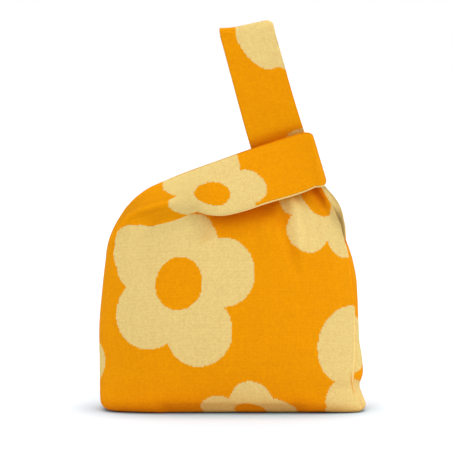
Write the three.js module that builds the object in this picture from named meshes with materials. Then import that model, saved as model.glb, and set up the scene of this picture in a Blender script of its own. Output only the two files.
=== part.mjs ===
// A knitted knot bag, standing on its base. The long handle loop goes up through the short one,
// which is bent over to the right and lies across the front.
// It is two knitted panels, front and back, linked along the sides, along the middle of the base and
// at the end of each handle loop. Each panel is one sheet: half the base, a wall and half of each handle.
// Millimetres, +Z up, the front towards -Y, origin on the ground under the middle of the bag.

import * as THREE from "three";
import { mergeVertices } from "three/addons/utils/BufferGeometryUtils.js";

// Driving dimensions
const FABRIC = 2; // thickness of the double knit
const SEAM_GAP = 0.3; // between the two panels where they are linked
const BASE_CORNER = 9; // radius from the base to the wall
const BASE_BAND = 30; // height of the lowest band of the wall, which shares its rows with the base
const BASE_LEFT = -113; // ends of the seam in the middle of the base
const BASE_RIGHT = 113;
const SEAM_FADE = 4; // panels closer than this are shaped by the seam between them
const ROWS = { base: 8, wall: 15, loop: 4 }; // rows of cells up the panel, and round a handle's end
const COLUMNS = { shoulder: 8, fold: 6, neck: 5, handle: 11 }; // cells along the top row of the body
const SHARES = { fold: 0.2, notch: 0.37, handle: 0.56 }; // of the width, where those stretches end
const OUTLINE_STEPS = 240; // points that a level outline of a panel is measured along

// The filled body, cut level at some heights: how far it reaches to each side, to the front and to
// the back, where the right-hand seam lies, and how square the outline is (2 is an ellipse).
const BODY = [
  { z: 0, left: -119.3, right: 122, seam: 117.2, front: 36, back: 36, square: 4.4 },
  { z: 4, left: -121, right: 123.4, seam: 118.6, front: 37.5, back: 37.5, square: 4.2 },
  { z: 12, left: -122.5, right: 120, seam: 114.8, front: 40, back: 40, square: 3.6 },
  { z: 22.5, left: -122.7, right: 116.8, seam: 111.4, front: 41.8, back: 41.8, square: 3 },
  { z: 33, left: -122.8, right: 120, seam: 110.4, front: 43, back: 43, square: 2.7 },
  { z: 41, left: -122.8, right: 120, seam: 111.4, front: 43.6, back: 43.4, square: 2.5 },
  { z: 50, left: -122.9, right: 119.2, seam: 112, front: 44, back: 43.8, square: 2.4 },
  { z: 62, left: -123.2, right: 117.2, seam: 112.2, front: 44.2, back: 43.8, square: 2.4 },
  { z: 83, left: -122.8, right: 115.8, seam: 111.8, front: 43.8, back: 43.2, square: 2.4 },
  { z: 105, left: -120.8, right: 115.2, seam: 110.8, front: 42.4, back: 41.8, square: 2.4 },
  { z: 125, left: -118.7, right: 113.2, seam: 108.4, front: 40.4, back: 40, square: 2.4 },
  { z: 140, left: -116.9, right: 110, seam: 106.2, front: 38.4, back: 38, square: 2.4 },
  { z: 149, left: -115.8, right: 107.2, seam: 104.4, front: 37, back: 36.8, square: 2.4 },
  { z: 160, left: -113, right: 104.6, seam: 101.8, front: 35, back: 34.8, square: 2.4 },
  { z: 175, left: -106.5, right: 102.6, seam: 97.4, front: 31.5, back: 31.5, square: 2.4 },
  { z: 190, left: -96.8, right: 96.6, seam: 92.6, front: 27.5, back: 27.5, square: 2.4 },
  { z: 206, left: -82, right: 88, seam: 84.5, front: 22.5, back: 22.5, square: 2.4 },
];

// The top row of the body, from the left armhole over the fold and along the neck to the right armhole.
// depth is the distance in front of (or behind) the middle, and reach is how far down it bends the wall.
const TOP_ROW = [
  { share: 0, x: -98.5, z: 187.3, depth: 4, reach: 30 },
  { share: 0.1, x: -91, z: 182.3, depth: 18.5, reach: 30 },
  { share: SHARES.fold, x: -72, z: 175, depth: 27, reach: 20 },
  { share: 0.285, x: -53, z: 179.3, depth: 31.5, reach: 9 },
  { share: SHARES.notch, x: -33, z: 186.2, depth: 34.5, reach: 9 },
  { share: 0.408, x: -25.6, z: 184.4, depth: 31.4, reach: 14 },
  { share: 0.446, x: -17, z: 188, depth: 29, reach: 20 },
  { share: 0.5, x: -4, z: 195, depth: 26, reach: 30 },
  { share: SHARES.handle, x: 8, z: 204, depth: 21.5, reach: 40 },
  { share: 0.7, x: 38, z: 197.5, depth: 18, reach: 40 },
  { share: 0.84, x: 69, z: 187, depth: 15.5, reach: 40 },
  { share: 0.93, x: 87, z: 179.5, depth: 11.5, reach: 30 },
  { share: 1, x: 97.6, z: 174, depth: 13, reach: 20 },
];
const REAR_RIGHT = { x: 103.4, z: 174, depth: 4, reach: 25 }; // the back panel's end of that row

// The short handle, from the shoulder to where its end starts to turn: its upper edge, a line along
// its middle and its lower edge. The first rows have their lower edge in the fold of the top row.
const SHORT_HANDLE = [
  { turn: 0, x0: -98.5, y0: 4, z0: 187.3, x1: -91, y1: 18.5, z1: 182.3, x2: -72, y2: 27, z2: 175 },
  { turn: 1.5, x0: -89, y0: 6, z0: 197.3, x1: -81, y1: 22, z1: 187.5, x2: -62, y2: 29.3, z2: 177.5 },
  { turn: 3, x0: -77, y0: 7.5, z0: 206, x1: -69, y1: 25, z1: 190.5, x2: -53, y2: 31.5, z2: 179.3 },
  { turn: 4.5, x0: -61, y0: 9.5, z0: 213.3, x1: -53, y1: 27.5, z1: 195, x2: -42, y2: 33, z2: 181.5 },
  { turn: 6, x0: -45, y0: 12, z0: 219.8, x1: -38, y1: 28, z1: 200, x2: -33, y2: 34.5, z2: 186.2 },
  { turn: 8, x0: -29, y0: 13.5, z0: 225.6, x1: -25, y1: 29.5, z1: 204, x2: -22, y2: 37, z2: 184 },
  { turn: 10, x0: -12, y0: 14.5, z0: 231.8, x1: -9, y1: 29.5, z1: 207, x2: -8, y2: 37.5, z2: 183.4 },
  { turn: 12, x0: 6, y0: 15, z0: 238.3, x1: 8.5, y1: 28, z1: 212, x2: 10, y2: 36, z2: 187.3 },
  { turn: 14, x0: 23, y0: 15, z0: 244.3, x1: 28, y1: 25, z1: 218, x2: 31, y2: 31.5, z2: 194 },
  { turn: 16, x0: 40, y0: 14.7, z0: 250, x1: 46, y1: 20, z1: 223.5, x2: 52, y2: 25.5, z2: 199.6 },
  { turn: 18, x0: 56, y0: 14, z0: 255, x1: 62.5, y1: 16.5, z1: 229, x2: 67, y2: 19.5, z2: 204.3 },
  { turn: 19, x0: 65, y0: 13.3, z0: 257.5, x1: 71, y1: 14, z1: 232, x2: 76, y2: 15, z2: 208 },
];
const SHORT_END = { reach0: 8.8, reach2: 9.8, drop0: 5.5, lift2: 5, blunt: 2.6 };
const REAR_DROP = 2.2; // the back half of the short handle hangs this much lower along its upper edge

// The long handle above the top row: its left and right edges, and its depth at the left edge, the
// middle and the right edge. dip is a fold beside the right edge, where the knot gathers the knit, and
// rear is how much further right the back panel's edge lies.
const LONG_HANDLE = [
  { row: 0, xl: 8, zl: 204, xr: 97.6, zr: 174, yl: 21.5, ym: 17, yr: 13, dip: 2, rear: 5.8 },
  { row: 1, xl: 13, zl: 213.5, xr: 93.5, zr: 185, yl: 17.5, ym: 14, yr: 10.5, dip: 2.6, rear: 7.5 },
  { row: 2, xl: 17, zl: 223, xr: 88, zr: 196, yl: 13.5, ym: 11.5, yr: 8.5, dip: 2.6, rear: 7 },
  { row: 3, xl: 18.5, zl: 232, xr: 81.5, zr: 209, yl: 11.5, ym: 10, yr: 7, dip: 1.4, rear: 2.5 },
  { row: 4, xl: 17.5, zl: 241.5, xr: 75.8, zr: 224, yl: 10, ym: 9.3, yr: 7.5, dip: 0, rear: 0 },
  { row: 5, xl: 15, zl: 250, xr: 70.5, zr: 241, yl: 9.3, ym: 9, yr: 8.5, dip: 0, rear: 0 },
  { row: 6, xl: 12.3, zl: 259, xr: 66, zr: 256.5, yl: 9.5, ym: 9, yr: 9.3, dip: 0, rear: 0.5 },
  { row: 9, xl: 4.2, zl: 288.5, xr: 56.8, zr: 286, yl: 11.2, ym: 11.2, yr: 11.2, dip: 0, rear: 0 },
  { row: 13, xl: -5.8, zl: 326, xr: 46, zr: 323, yl: 11, ym: 11, yr: 11, dip: 0, rear: 0 },
  { row: 15, xl: -11.2, zl: 345.5, xr: 39.2, zr: 347, yl: 7, ym: 7.5, yr: 7, dip: 0, rear: 0 },
];
const DIP_AT = 0.86; // of the way across
const DIP_WIDTH = 0.08;
const LONG_END_ROW = 15; // where the loop starts to turn over at the top
const LONG_END = [
  { share: 0, x: -12.1, z: 352.6 },
  { share: 0.25, x: 1, z: 353.4 },
  { share: 0.5, x: 13, z: 356 },
  { share: 0.75, x: 25, z: 359 },
  { share: 0.9, x: 32.5, z: 359.8 },
  { share: 1, x: 36.8, z: 357.2 },
];

const COLORS = { knit: 0xf09c06 };

const smooth = (t) => {
  const s = Math.min(1, Math.max(0, t));
  return s * s * (3 - 2 * s);
};
const mix = (a, b, t) => a + (b - a) * t;
const mixPoint = (a, b, t) => a.map((v, i) => mix(v, b[i], t));
const distance = (a, b) => Math.hypot(...a.map((v, i) => v - b[i]));

// A smooth value between the rows of a table: key is the column read, along is the column that orders it.
function between(table, along, key, at) {
  const last = table.length - 1;
  let i = 0;
  while (i < last - 1 && table[i + 1][along] < at) i += 1;
  const from = table[i];
  const to = table[i + 1];
  const span = to[along] - from[along];
  const slope = (j) => {
    const before = table[Math.max(0, j - 1)];
    const after = table[Math.min(last, j + 1)];
    return (after[key] - before[key]) / (after[along] - before[along]);
  };
  const t = Math.min(1, Math.max(0, (at - from[along]) / span));
  const t2 = t * t;
  const t3 = t2 * t;
  return (
    (2 * t3 - 3 * t2 + 1) * from[key] +
    (t3 - 2 * t2 + t) * span * slope(i) +
    (3 * t2 - 2 * t3) * to[key] +
    (t3 - t2) * span * slope(i + 1)
  );
}

// A curve through three points, at t from 0 to 1.
const through = (a, b, c, t) =>
  a.map((v, i) => v * (1 - t) * (1 - 2 * t) + b[i] * 4 * t * (1 - t) + c[i] * t * (2 * t - 1));

// The level outline of the body at one height, as points of one panel from its left seam to its right one.
function outline(z, back) {
  const at = (key) => between(BODY, "z", key, z);
  const [left, right, seam, power] = [at("left"), at("right"), at("seam"), 2 / at("square")];
  const middle = (left + right) / 2;
  const half = (right - left) / 2;
  const turnAtSeam = Math.acos(-(((seam - middle) / half) ** (1 / power)));
  const end = back ? turnAtSeam - 2 * Math.PI : turnAtSeam;
  const blunt = (v) => Math.sign(v) * Math.abs(v) ** power;
  const points = [];
  for (let i = 0; i <= OUTLINE_STEPS; i += 1) {
    const turn = (end * i) / OUTLINE_STEPS;
    const depth = turn > 0 ? at("front") : at("back");
    points.push([middle - half * blunt(Math.cos(turn)), -depth * blunt(Math.sin(turn))]);
  }
  return points;
}

// The point at a share of the length of a level outline.
function alongOutline(points, share) {
  const steps = points.slice(1).map((point, i) => distance(point, points[i]));
  let left = share * steps.reduce((sum, step) => sum + step, 0);
  let i = 0;
  while (i < steps.length - 1 && left > steps[i]) {
    left -= steps[i];
    i += 1;
  }
  return mixPoint(points[i], points[i + 1], left / steps[i]);
}

const wall = (share, z, back) => [...alongOutline(outline(z, back), share), z];

// The seam in the middle of the base, from the middle of the left side to the foot of the right-hand seam.
const baseSeam = (share) => [mix(BASE_LEFT, BASE_RIGHT, share), share * wall(1, 0, false)[1]];

// The top row of the body of one panel.
function topRow(share, back) {
  const table = back ? [...TOP_ROW.slice(0, -1), { share: 1, ...REAR_RIGHT }] : TOP_ROW;
  const at = (key) => between(table, "share", key, share);
  return { point: [at("x"), (back ? 1 : -1) * at("depth"), at("z")], reach: at("reach") };
}

// A point of the wall or of the base: row 0 is the seam in the base, and the last row is the top row.
function bodyPoint(share, row, back) {
  const ground = FABRIC / 2;
  if (row > ROWS.base) {
    const top = topRow(share, back);
    const z = mix(BASE_BAND, top.point[2], (row - ROWS.base) / ROWS.wall);
    const at = wall(share, z, back);
    const under = wall(share, top.point[2], back);
    const pull = 1 - smooth((top.point[2] - z) / top.reach);
    return at.map((v, i) => v + (top.point[i] - under[i]) * pull);
  }
  const seam = baseSeam(share);
  const foot = wall(share, 0, back);
  const run = distance(seam, foot.slice(0, 2));
  const radius = Math.min(BASE_CORNER, 0.8 * run);
  const lengths = [run - radius, (Math.PI / 2) * radius, BASE_BAND - ground - radius];
  const wanted = ((lengths[0] + lengths[1] + lengths[2]) * row) / ROWS.base;
  if (wanted <= lengths[0]) return [...mixPoint(seam, foot.slice(0, 2), wanted / run), ground];
  if (wanted <= lengths[0] + lengths[1]) {
    const angle = (wanted - lengths[0]) / radius;
    const z = ground + radius * (1 - Math.cos(angle));
    const out = (run - radius + radius * Math.sin(angle)) / run;
    return [...mixPoint(seam, wall(share, z, back).slice(0, 2), out), z];
  }
  return wall(share, ground + radius + wanted - lengths[0] - lengths[1], back);
}

// A point of the short handle: turn counts its rows from the shoulder, and across goes from 0 at its
// upper edge to 1 at its lower edge.
function shortPoint(turn, across, back) {
  const side = back ? 1 : -1;
  const start = SHORT_HANDLE[SHORT_HANDLE.length - 1].turn;
  const read = (n) => {
    const at = (axis) => between(SHORT_HANDLE, "turn", axis + n, Math.min(turn, start));
    return [at("x"), side * at("y"), at("z")];
  };
  const inFold = turn <= COLUMNS.fold;
  const fold = mix(SHARES.fold, SHARES.notch, turn / COLUMNS.fold);
  const lower = inFold ? topRow(fold, back).point : read(2);
  const point = through(read(0), read(1), lower, across);
  const angle = (Math.PI / 2) * Math.max(0, (turn - start) / ROWS.loop);
  if (back) point[2] -= REAR_DROP * (1 - across) * smooth(turn / COLUMNS.fold) * Math.cos(angle);
  if (turn > start) {
    const power = 2 / SHORT_END.blunt;
    point[0] += mix(SHORT_END.reach0, SHORT_END.reach2, across) * Math.sin(angle) ** power;
    point[1] *= Math.abs(Math.cos(angle)) ** power;
    point[2] += mix(-SHORT_END.drop0, SHORT_END.lift2, across) * (1 - Math.cos(angle));
  }
  return point;
}

// A point of the long handle: row counts up from the top row of the body, and across goes from its left
// edge to its right edge.
function longPoint(row, across, back) {
  const side = back ? 1 : -1;
  const read = (key) => between(LONG_HANDLE, "row", key, Math.min(row, LONG_END_ROW));
  const rear = back ? read("rear") : 0;
  const left = [read("xl"), side * read("yl"), read("zl")];
  const right = [read("xr") + rear, side * (read("yr") - rear), read("zr")];
  const middle = mixPoint(left, right, 0.5);
  middle[1] = side * read("ym");
  const point = through(left, middle, right, across);
  point[1] -= side * read("dip") * Math.exp(-(((across - DIP_AT) / DIP_WIDTH) ** 2));
  if (row > LONG_END_ROW) {
    const angle = (Math.PI / 2) * ((row - LONG_END_ROW) / ROWS.loop);
    const top = ["x", "z"].map((key) => between(LONG_END, "share", key, across));
    point[0] = mix(point[0], top[0], 1 - Math.cos(angle));
    point[1] *= Math.cos(angle);
    point[2] = mix(point[2], top[1], Math.sin(angle));
  }
  return point;
}

// The middle surface of one panel, as points and four-sided cells that face outwards. A cell starts at an
// end of its shorter diagonal, where it is split in two.
function panelSurface(back) {
  const points = [];
  const cells = [];
  const add = (point) => points.push(point) - 1;
  const shares = [0];
  const stretches = [
    [COLUMNS.shoulder, SHARES.fold],
    [COLUMNS.fold, SHARES.notch],
    [COLUMNS.neck, SHARES.handle],
    [COLUMNS.handle, 1],
  ];
  for (const [count, end] of stretches) {
    const start = shares[shares.length - 1];
    for (let i = 1; i <= count; i += 1) shares.push(mix(start, end, i / count));
  }
  const fill = (grid) => {
    for (let j = 1; j < grid.length; j += 1) {
      for (let i = 1; i < grid[j].length; i += 1) {
        const cell = [grid[j - 1][i - 1], grid[j - 1][i], grid[j][i], grid[j][i - 1]];
        const [a, b, c, d] = cell.map((k) => points[k]);
        if (distance(a, c) > distance(b, d)) cell.push(cell.shift());
        const [start, next, far, last] = cell;
        cells.push(back ? [start, last, far, next] : cell);
      }
    }
  };

  const body = [];
  for (let row = 0; row <= ROWS.base + ROWS.wall; row += 1) {
    body.push(shares.map((share) => add(bodyPoint(share, row, back))));
  }
  fill(body);
  const top = body[body.length - 1];

  const short = [top.slice(0, COLUMNS.shoulder + 1)];
  const lastTurn = SHORT_HANDLE[SHORT_HANDLE.length - 1].turn + ROWS.loop;
  for (let turn = 1; turn <= lastTurn; turn += 1) {
    const line = [];
    for (let i = 0; i <= COLUMNS.shoulder; i += 1) {
      const shared = i === COLUMNS.shoulder && turn <= COLUMNS.fold;
      line.push(shared ? top[COLUMNS.shoulder + turn] : add(shortPoint(turn, i / COLUMNS.shoulder, back)));
    }
    short.push(line);
  }
  fill(short);

  const long = [top.slice(-COLUMNS.handle - 1)];
  for (let row = 1; row <= LONG_END_ROW + ROWS.loop; row += 1) {
    const line = [];
    for (let i = 0; i <= COLUMNS.handle; i += 1) line.push(add(longPoint(row, i / COLUMNS.handle, back)));
    long.push(line);
  }
  fill(long);
  return { points, cells };
}

// Gives the middle surface of a panel its thickness. Where it comes close to the other panel, at a seam,
// it is thickened along the seam, and half the gap is left beside it.
function panelSolid(back) {
  const { points, cells } = panelSurface(back);
  const others = panelSurface(!back).points;
  const normals = points.map(() => new THREE.Vector3());
  const edges = new Map();
  for (const cell of cells) {
    const [a, b, c, d] = cell.map((i) => new THREE.Vector3(...points[i]));
    const normal = c.sub(a).cross(d.sub(b));
    for (const i of cell) normals[i].add(normal);
    cell.forEach((from, k) => {
      const to = cell[(k + 1) % 4];
      if (!edges.delete(`${to} ${from}`)) edges.set(`${from} ${to}`, [from, to]);
    });
  }
  const outer = [];
  const inner = [];
  points.forEach((point, i) => {
    const near = 1 - smooth(distance(point, others[i]) / SEAM_FADE);
    const normal = normals[i].normalize();
    normal.y *= 1 - near;
    normal.setLength(FABRIC / 2);
    const [x, y, z] = point;
    const shifted = y + (near * (back ? SEAM_GAP : -SEAM_GAP)) / 2;
    outer.push(x + normal.x, shifted + normal.y, Math.max(0, z + normal.z));
    inner.push(x - normal.x, shifted - normal.y, z - normal.z);
  });
  const inside = points.length;
  const index = [];
  const face = (a, b, c, d) => index.push(a, b, c, a, c, d);
  for (const [a, b, c, d] of cells) {
    face(a, b, c, d);
    face(c + inside, b + inside, a + inside, d + inside);
  }
  for (const [from, to] of edges.values()) face(to, from, from + inside, to + inside);
  const geometry = new THREE.BufferGeometry();
  geometry.setAttribute("position", new THREE.Float32BufferAttribute([...outer, ...inner], 3));
  geometry.setIndex(index);
  return mergeVertices(geometry, 1e-4);
}

function panel(name, back) {
  const material = new THREE.MeshStandardMaterial({ color: COLORS.knit, roughness: 0.9, metalness: 0 });
  const mesh = new THREE.Mesh(panelSolid(back), material);
  mesh.name = name;
  return mesh;
}

const bag = new THREE.Group();
bag.add(panel("front_panel", false), panel("back_panel", true));

export default bag;
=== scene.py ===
# %% [markdown]
# # A knitted knot bag
#
# This lesson dresses a small knitted bag: two jacquard panels, linked along their edges, with a long
# handle loop drawn up through a short one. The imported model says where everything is. It is loaded first
# and stays as it is, and each panel made here takes the place of the plain one.

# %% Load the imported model
import math

import bmesh
import bpy
import numpy as np
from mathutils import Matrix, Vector, noise
from mathutils.bvhtree import BVHTree


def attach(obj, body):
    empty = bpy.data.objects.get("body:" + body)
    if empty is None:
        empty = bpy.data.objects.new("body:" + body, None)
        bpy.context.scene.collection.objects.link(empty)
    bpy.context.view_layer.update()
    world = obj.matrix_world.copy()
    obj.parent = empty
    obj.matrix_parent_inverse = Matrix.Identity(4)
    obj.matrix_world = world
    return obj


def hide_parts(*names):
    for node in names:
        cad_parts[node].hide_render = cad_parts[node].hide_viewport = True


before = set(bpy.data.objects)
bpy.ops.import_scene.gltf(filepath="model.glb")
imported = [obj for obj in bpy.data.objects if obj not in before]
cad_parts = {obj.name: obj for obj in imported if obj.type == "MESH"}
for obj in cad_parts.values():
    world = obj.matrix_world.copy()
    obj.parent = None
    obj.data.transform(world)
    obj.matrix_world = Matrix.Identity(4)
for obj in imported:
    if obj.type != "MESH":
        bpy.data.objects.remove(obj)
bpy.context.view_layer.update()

# %% [markdown]
# ## The camera and the studio
#
# The bag is seen almost straight on, from just above its own middle. A long lens keeps the handles and the
# base in the same scale, as a catalogue picture does. The lens comes from the sizes: at this distance the
# picture is as wide as `VIEW_WIDTH`. The small shift puts the bag where the picture has it, without
# turning the camera.

# %% Camera
PICTURE = 452  # pixels, each way
VIEW_WIDTH = 0.4195  # metres seen across the picture, at the bag
DISTANCE = 2.2  # metres from the bag's middle
ELEVATION = math.radians(4)
AIM = (0, 0, 0.18)
BAG_AT = (232.8, 215.7)  # pixel where the aimed point shows
SENSOR = 36  # millimetres, as in a full-frame camera


def look_from(azimuth, elevation, distance):
    """A place around the aimed point, with azimuth 0 in front."""
    level = distance * math.cos(elevation)
    return (
        AIM[0] + level * math.sin(azimuth),
        AIM[1] - level * math.cos(azimuth),
        AIM[2] + distance * math.sin(elevation),
    )


camera_data = bpy.data.cameras.new("camera")
camera_data.sensor_width = SENSOR
camera_data.lens = SENSOR * DISTANCE / VIEW_WIDTH
camera_data.shift_x = (PICTURE / 2 - BAG_AT[0]) / PICTURE
camera_data.shift_y = (BAG_AT[1] - PICTURE / 2) / PICTURE
camera = bpy.data.objects.new("camera", camera_data)
camera.location = look_from(0, ELEVATION, DISTANCE)
camera.rotation_euler = (math.pi / 2 - ELEVATION, 0, 0)
bpy.context.collection.objects.link(camera)
bpy.context.scene.camera = camera
print("lens", round(camera_data.lens, 1), "mm")

# %% [markdown]
# The floor is one large pale sheet. It could curve up into a backdrop, but a plain white world behind it
# gives the same clean white. The world shows plain white to the camera and lights the bag a little more
# strongly than that. The floor has two tones as well: one for the camera, in which it comes out as white
# as the world, and one for the light that it sends back up to the bag.
#
# Close round the foot of a soft bag lies a grey shade, where less of the room reaches the floor. Orange
# light off the bag would warm it. An Ambient Occlusion node measures how open each place on the floor is,
# and where the bag is near, that shade is painted into the floor's tone, darker and a little blue, which
# balances that warmth.

# %% The floor
FLOOR_SEEN = (0.655, 0.69, 0.73, 1)  # what the camera sees
FLOOR_BOUNCE = (0.8, 0.8, 0.8, 1)  # what the bag gets back from it
# painted shadow: the floor's tone close round the bag's foot
FLOOR_PAINTED_SHADOW = (0.24, 0.37, 0.44, 1)  # what it would see where the floor is wholly covered
CONTACT_REACH = 0.038  # metres
CONTACT_RAYS = 8
FLOOR_HALF = 30  # metres, so that its far edge is lost in the white
FLOOR_DROP = 0.0004  # metres that it lies below the base, so that the two surfaces don't mix
FLOOR_ROUGHNESS = 0.9


def wire(tree, value, socket):
    """Sets a socket to a number or a colour, or links it to another socket."""
    if isinstance(value, bpy.types.NodeSocket):
        tree.links.new(value, socket)
    else:
        socket.default_value = value


def mix_color(tree, factor, a, b, blend="MIX"):
    node = tree.nodes.new("ShaderNodeMix")
    node.data_type = "RGBA"
    node.blend_type = blend
    wire(tree, factor, node.inputs[0])
    wire(tree, a, node.inputs[6])
    wire(tree, b, node.inputs[7])
    return node.outputs[2]


floor_mesh = bpy.data.meshes.new("floor")
floor_corners = [(-1, -1), (1, -1), (1, 1), (-1, 1)]
floor_points = [(x * FLOOR_HALF, y * FLOOR_HALF, -FLOOR_DROP) for x, y in floor_corners]
floor_mesh.from_pydata(floor_points, [], [(0, 1, 2, 3)])
floor = bpy.data.objects.new("floor", floor_mesh)
bpy.context.collection.objects.link(floor)

paper = bpy.data.materials.new("paper floor")
paper.use_nodes = True
paper_shader = paper.node_tree.nodes["Principled BSDF"]
paper_shader.inputs["Roughness"].default_value = FLOOR_ROUGHNESS
paper_shader.inputs["Specular IOR Level"].default_value = 0
openness = paper.node_tree.nodes.new("ShaderNodeAmbientOcclusion")
openness.samples = CONTACT_RAYS
openness.inputs["Distance"].default_value = CONTACT_REACH
paper_light = paper.node_tree.nodes.new("ShaderNodeLightPath")
# painted shadow: the seen tone darkens where the Ambient Occlusion node finds the bag near
paper_seen = mix_color(paper.node_tree, openness.outputs["AO"], FLOOR_PAINTED_SHADOW, FLOOR_SEEN)
paper_color = mix_color(paper.node_tree, paper_light.outputs["Is Camera Ray"], FLOOR_BOUNCE, paper_seen)
wire(paper.node_tree, paper_color, paper_shader.inputs["Base Color"])
floor_mesh.materials.append(paper)
print("floor", 2 * FLOOR_HALF, "m wide,", len(paper.node_tree.nodes), "nodes in its material")

# %% The white room
ROOM_SHOWN = 1.0
ROOM_LIGHT = 1.25

world = bpy.data.worlds.new("white room")
world.use_nodes = True
nodes, links = world.node_tree.nodes, world.node_tree.links
background = nodes["Background"]
background.inputs["Color"].default_value = (1, 1, 1, 1)
seen = nodes.new("ShaderNodeLightPath")
strength = nodes.new("ShaderNodeMapRange")
strength.inputs["To Min"].default_value = ROOM_LIGHT
strength.inputs["To Max"].default_value = ROOM_SHOWN
links.new(seen.outputs["Is Camera Ray"], strength.inputs["Value"])
links.new(strength.outputs["Result"], background.inputs["Strength"])
bpy.context.scene.world = world
bpy.context.scene.view_settings.view_transform = "Standard"
print("the room lights the bag", ROOM_LIGHT / ROOM_SHOWN, "times as strongly as it shows")

# %% [markdown]
# Sun lamps light a floor evenly as far as it goes, where a lamp close by would leave grey corners. A wide
# angle makes them as soft as a large cloth over a lamp. Most of the light comes from the white room, so
# the lamps only shape the bag. The first stands high and a little to the left, and draws the shadow under
# the short handle. The others keep the right side and the back from going dull.

# %% Lamps
LAMPS = [
    # name, azimuth, elevation (degrees), softness (degrees), strength
    ("high lamp", -8, 64, 50, 1.1),
    ("right lamp", 75, 14, 50, 0.9),
    ("rear lamp", 180, 40, 60, 0.3),
]

for name, azimuth, elevation, softness, strength in LAMPS:
    lamp_data = bpy.data.lights.new(name, "SUN")
    lamp_data.angle = math.radians(softness)
    lamp_data.energy = strength
    lamp = bpy.data.objects.new(name, lamp_data)
    lamp.location = look_from(math.radians(azimuth), math.radians(elevation), 1)
    lamp.rotation_euler = (math.pi / 2 - math.radians(elevation), 0, math.radians(azimuth))
    bpy.context.collection.objects.link(lamp)
print(len(LAMPS), "lamps")

# %% [markdown]
# ## The shape of one knitted panel
#
# The real bag is two flat panels, each knitted in one piece like the front of a tank top: half of the
# base, a wall, and half of each handle. Filled and stood up, the knit takes the round shape below. It
# could be blown up with a cloth simulation, but the folds at the neck are particular to how this one was
# knotted, so the surface is laid out from the same tables as the solids that it replaces, on a finer
# grid.
#
# Each table has named columns, in millimetres, and the first column puts its rows in order.

# %% Tables
METRE = 1000  # the tables are in millimetres, and the scene is in metres
FABRIC = 2  # thickness of the double knit
BASE_CORNER = (6.5, 12)  # radius from the base to the wall: at the sides, and in front and behind
BASE_BAND = 30  # height of the lowest band of the wall
BASE_LEFT = -113  # ends of the seam in the middle of the base
BASE_RIGHT = 113
ROWS = {"base": 8, "wall": 15, "loop": 4}  # cells of the solid, upwards
COLUMNS = {"shoulder": 8, "fold": 6, "neck": 5, "handle": 11}  # and across
FOLD = 0.2  # shares of the width, where the stretches of the top row end
NOTCH = 0.37
HANDLE = 0.56


def table(names, *rows):
    """Named columns of numbers. The first column orders the rows."""
    return dict(zip(names.split(), np.array(rows, float).T))


# The filled body, cut level: its reach to each side, the right-hand seam, its reach to the front and the
# back, and how square the outline is (2 is an ellipse).
BODY = table(
    "z left right seam front back square",
    (0, -119.3, 122, 117.2, 36, 36, 4.4),
    (4, -121, 123.4, 118.6, 37.5, 37.5, 4.2),
    (12, -122.5, 120, 114.8, 40, 40, 3.6),
    (22.5, -122.7, 116.8, 111.4, 41.8, 41.8, 3),
    (33, -122.8, 120, 110.4, 43, 43, 2.7),
    (41, -122.8, 120, 111.4, 43.6, 43.4, 2.5),
    (50, -122.9, 119.2, 112, 44, 43.8, 2.4),
    (62, -123.2, 117.2, 112.2, 44.2, 43.8, 2.4),
    (83, -122.8, 115.8, 111.8, 43.8, 43.2, 2.4),
    (105, -120.8, 115.2, 110.8, 42.4, 41.8, 2.4),
    (125, -118.7, 113.2, 108.4, 40.4, 40, 2.4),
    (140, -116.9, 110, 106.2, 38.4, 38, 2.4),
    (149, -115.8, 107.2, 104.4, 37, 36.8, 2.4),
    (160, -113, 104.6, 101.8, 35, 34.8, 2.4),
    (175, -106.5, 102.6, 97.4, 31.5, 31.5, 2.4),
    (190, -96.8, 96.6, 92.6, 27.5, 27.5, 2.4),
    (206, -82, 88, 84.5, 22.5, 22.5, 2.4),
)
# The top row of the body, from the left armhole over the fold and along the neck to the right armhole.
# Depth is the distance in front of the middle or behind it, and reach is how far down it bends the wall.
TOP_ROW = table(
    "share x z depth reach",
    (0, -98.5, 187.3, 4, 30),
    (0.1, -91, 182.3, 18.5, 30),
    (FOLD, -72, 175, 27, 20),
    (0.285, -53, 179.3, 31.5, 9),
    (NOTCH, -33, 186.2, 34.5, 9),
    (0.408, -25.6, 184.4, 31.4, 14),
    (0.446, -17, 188, 29, 20),
    (0.5, -4, 195, 26, 30),
    (HANDLE, 8, 204, 21.5, 40),
    (0.7, 38, 197.5, 18, 40),
    (0.84, 69, 187, 15.5, 40),
    (0.93, 89, 179.5, 11.5, 30),
    (1, 98.6, 174, 11, 20),
)
REAR_TOP_ROW = {name: column.copy() for name, column in TOP_ROW.items()}
REAR_RIGHT = {"x": 103.4, "z": 174, "depth": 4, "reach": 25}  # where the back panel's row ends
for name, value in REAR_RIGHT.items():
    REAR_TOP_ROW[name][-1] = value
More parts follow.
